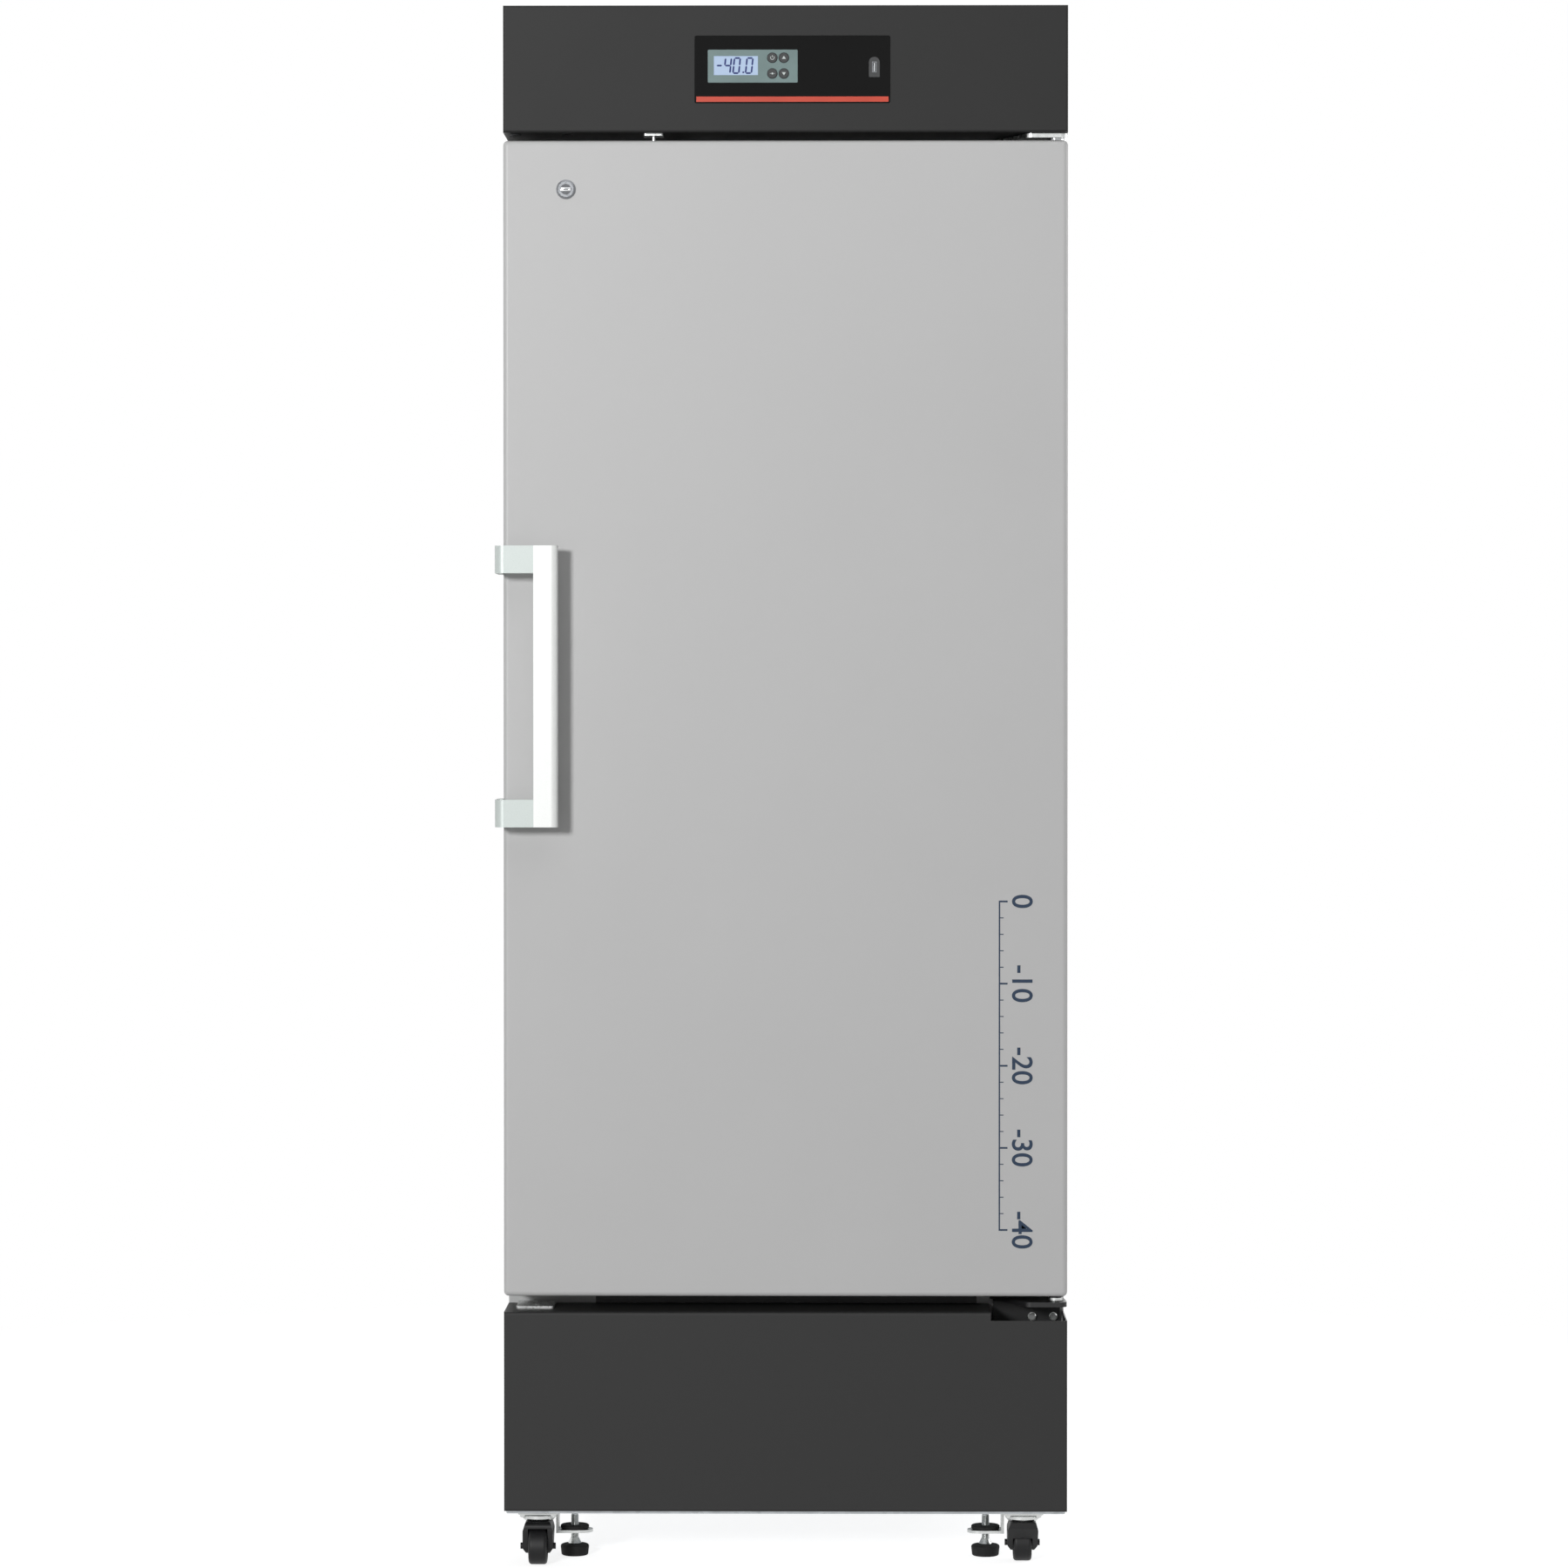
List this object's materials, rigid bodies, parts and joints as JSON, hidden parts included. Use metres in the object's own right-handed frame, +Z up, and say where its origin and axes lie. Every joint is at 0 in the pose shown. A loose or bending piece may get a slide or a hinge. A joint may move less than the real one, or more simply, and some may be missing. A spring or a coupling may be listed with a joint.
{
  "type": "upright laboratory freezer",
  "caption": "Tall single-door laboratory freezer with a side handle, key lock, header display, shelves, swivel casters and levelling feet.",
  "frame": {"origin": "bottom centre of the bounding box, on the floor that the casters stand on", "axes": "+Z up, +Y towards the back of the cabinet, +X to the right of someone facing the door"},
  "size_m": [0.708, 0.824, 1.942],
  "materials": {
    "cabinet_grey_paint": "satin",
    "door_grey_paint": "satin",
    "charcoal_paint": "satin",
    "galvanised_sheet": "satin",
    "stainless_sheet": "satin",
    "zinc_plate": "satin",
    "black_paint": "satin",
    "white_liner": "satin",
    "insulation_foam": "matte",
    "gasket_grey": "matte",
    "handle_silver": "satin",
    "handle_bracket_grey": "satin",
    "polished_metal": "polished",
    "dark_metal": "satin",
    "black_gloss": "gloss",
    "accent_red": "satin",
    "bezel_grey_green": "satin",
    "display_pane": "gloss",
    "key_black": "matte",
    "circuit_board": "satin",
    "black_plastic": "satin",
    "wheel_black": "satin",
    "black_rubber": "matte",
    "copper_tube": "satin",
    "bush_plastic": "satin"
  },
  "bodies": {
    "cabinet": {"side_panel_left": "cabinet_grey_paint", "side_panel_right": "cabinet_grey_paint", "top_panel": "cabinet_grey_paint", "back_panel": "galvanised_sheet", "front_frame": "cabinet_grey_paint", "inner_liner": "white_liner", "cabinet_foam": "insulation_foam", "header_cover": "charcoal_paint", "base_front_panel": "charcoal_paint", "base_pan": "galvanised_sheet", "rear_louvre_cover": "galvanised_sheet", "mains_inlet": "black_plastic", "upper_hinge_bracket": "zinc_plate", "lower_hinge_bracket": "black_paint", "spare_hinge_plate": "zinc_plate", "door_switch_body": "zinc_plate", "control_plate": "black_gloss", "accent_strip": "accent_red", "display_bezel": "bezel_grey_green", "display_glass": "display_pane", "controller_board": "circuit_board", "usb_port": "zinc_plate", "caster_plates": "zinc_plate", "levelling_brackets": "zinc_plate", "condenser": "black_paint", "fan_motor": "black_paint", "compressor": "black_paint", "compressor_mounts": "black_rubber", "refrigerant_tubing": "copper_tube", "shelf_1": "stainless_sheet", "shelf_2": "stainless_sheet", "shelf_3": "stainless_sheet"},
    "door": {"door_skin": "door_grey_paint", "door_foam": "insulation_foam", "door_liner": "white_liner", "door_gasket": "gasket_grey", "door_bushes": "bush_plastic", "handle_bar": "handle_silver", "handle_brackets": "handle_bracket_grey", "lock_barrel": "polished_metal"},
    "lock_plug": {"lock_plug": "dark_metal"},
    "lock_bolt": {"lock_bolt": "zinc_plate"},
    "door_switch_plunger": {"door_switch_plunger": "zinc_plate"},
    "fan_blades": {"fan_blades": "black_plastic"},
    "panel_key_1": {"panel_key_1": "key_black"},
    "panel_key_2": {"panel_key_2": "key_black"},
    "panel_key_3": {"panel_key_3": "key_black"},
    "panel_key_4": {"panel_key_4": "key_black"},
    "caster_fork_front_left": {"caster_fork_front_left": "black_plastic"},
    "caster_fork_front_right": {"caster_fork_front_right": "black_plastic"},
    "caster_fork_rear_left": {"caster_fork_rear_left": "black_plastic"},
    "caster_fork_rear_right": {"caster_fork_rear_right": "black_plastic"},
    "caster_wheel_front_left": {"caster_wheel_front_left": "wheel_black"},
    "caster_wheel_front_right": {"caster_wheel_front_right": "wheel_black"},
    "caster_wheel_rear_left": {"caster_wheel_rear_left": "wheel_black"},
    "caster_wheel_rear_right": {"caster_wheel_rear_right": "wheel_black"},
    "foot_pad_left": {"foot_pad_left": "black_rubber"},
    "foot_pad_right": {"foot_pad_right": "black_rubber"},
    "foot_screw_left": {"foot_screw_left": "zinc_plate"},
    "foot_screw_right": {"foot_screw_right": "zinc_plate"}
  },
  "joints": [
    {"name": "door_hinge", "type": "hinge", "parent": "cabinet", "child": "door", "pos_m": [0.34, -0.339, 1.058], "axis": [0, 0, 1], "range_deg": [0, 120]},
    {"name": "lock_turn", "type": "hinge", "parent": "door", "child": "lock_plug", "pos_m": [-0.268, -0.364, 1.7143], "axis": [0, 1, 0], "range_deg": [0, 90]},
    {"name": "bolt_slide", "type": "slide", "parent": "door", "child": "lock_bolt", "axis": [0, 0, 1], "range_m": [0, 0.01698]},
    {"name": "door_switch_press", "type": "slide", "parent": "cabinet", "child": "door_switch_plunger", "axis": [0, 0, 1], "range_m": [0, 0.003], "stiffness_N_per_m": 150},
    {"name": "fan_spin", "type": "hinge", "parent": "cabinet", "child": "fan_blades", "pos_m": [0.004, -0.138, 0.187], "axis": [0, 1, 0], "continuous": true},
    {"name": "panel_key_1_press", "type": "slide", "parent": "cabinet", "child": "panel_key_1", "axis": [0, 1, 0], "range_m": [0, 0.001], "stiffness_N_per_m": 400},
    {"name": "panel_key_2_press", "type": "slide", "parent": "cabinet", "child": "panel_key_2", "axis": [0, 1, 0], "range_m": [0, 0.001], "stiffness_N_per_m": 400},
    {"name": "panel_key_3_press", "type": "slide", "parent": "cabinet", "child": "panel_key_3", "axis": [0, 1, 0], "range_m": [0, 0.001], "stiffness_N_per_m": 400},
    {"name": "panel_key_4_press", "type": "slide", "parent": "cabinet", "child": "panel_key_4", "axis": [0, 1, 0], "range_m": [0, 0.001], "stiffness_N_per_m": 400},
    {"name": "caster_swivel_front_left", "type": "hinge", "parent": "cabinet", "child": "caster_fork_front_left", "pos_m": [-0.306, -0.304, 0.0537], "axis": [0, 0, 1], "continuous": true},
    {"name": "wheel_spin_front_left", "type": "hinge", "parent": "caster_fork_front_left", "child": "caster_wheel_front_left", "pos_m": [-0.306, -0.32, 0.023], "axis": [1, 0, 0], "continuous": true},
    {"name": "caster_swivel_front_right", "type": "hinge", "parent": "cabinet", "child": "caster_fork_front_right", "pos_m": [0.301, -0.304, 0.0537], "axis": [0, 0, 1], "continuous": true},
    {"name": "wheel_spin_front_right", "type": "hinge", "parent": "caster_fork_front_right", "child": "caster_wheel_front_right", "pos_m": [0.301, -0.288, 0.023], "axis": [1, 0, 0], "continuous": true},
    {"name": "caster_swivel_rear_left", "type": "hinge", "parent": "cabinet", "child": "caster_fork_rear_left", "pos_m": [-0.306, 0.346, 0.0537], "axis": [0, 0, 1], "continuous": true},
    {"name": "wheel_spin_rear_left", "type": "hinge", "parent": "caster_fork_rear_left", "child": "caster_wheel_rear_left", "pos_m": [-0.306, 0.362, 0.023], "axis": [1, 0, 0], "continuous": true},
    {"name": "caster_swivel_rear_right", "type": "hinge", "parent": "cabinet", "child": "caster_fork_rear_right", "pos_m": [0.301, 0.346, 0.0537], "axis": [0, 0, 1], "continuous": true},
    {"name": "wheel_spin_rear_right", "type": "hinge", "parent": "caster_fork_rear_right", "child": "caster_wheel_rear_right", "pos_m": [0.301, 0.33, 0.023], "axis": [1, 0, 0], "continuous": true},
    {"name": "foot_lift_left", "type": "slide", "parent": "cabinet", "child": "foot_pad_left", "axis": [0, 0, 1], "range_m": [0, 0.0072]},
    {"name": "foot_screw_turn_left", "type": "hinge", "parent": "foot_pad_left", "child": "foot_screw_left", "pos_m": [-0.2635, -0.25, 0.003], "axis": [0, 0, 1], "range_deg": [0, 1728]},
    {"name": "foot_lift_right", "type": "slide", "parent": "cabinet", "child": "foot_pad_right", "axis": [0, 0, 1], "range_m": [0, 0.0072]},
    {"name": "foot_screw_turn_right", "type": "hinge", "parent": "foot_pad_right", "child": "foot_screw_right", "pos_m": [0.256, -0.25, 0.003], "axis": [0, 0, 1], "range_deg": [0, 1728]}
  ],
  "couplings": [
    {"joint": "bolt_slide", "follows": "lock_turn", "m_per_rad": 0.010804},
    {"joint": "foot_lift_left", "follows": "foot_screw_turn_left", "m_per_rad": 0.00023873},
    {"joint": "foot_lift_right", "follows": "foot_screw_turn_right", "m_per_rad": 0.00023873}
  ]
}
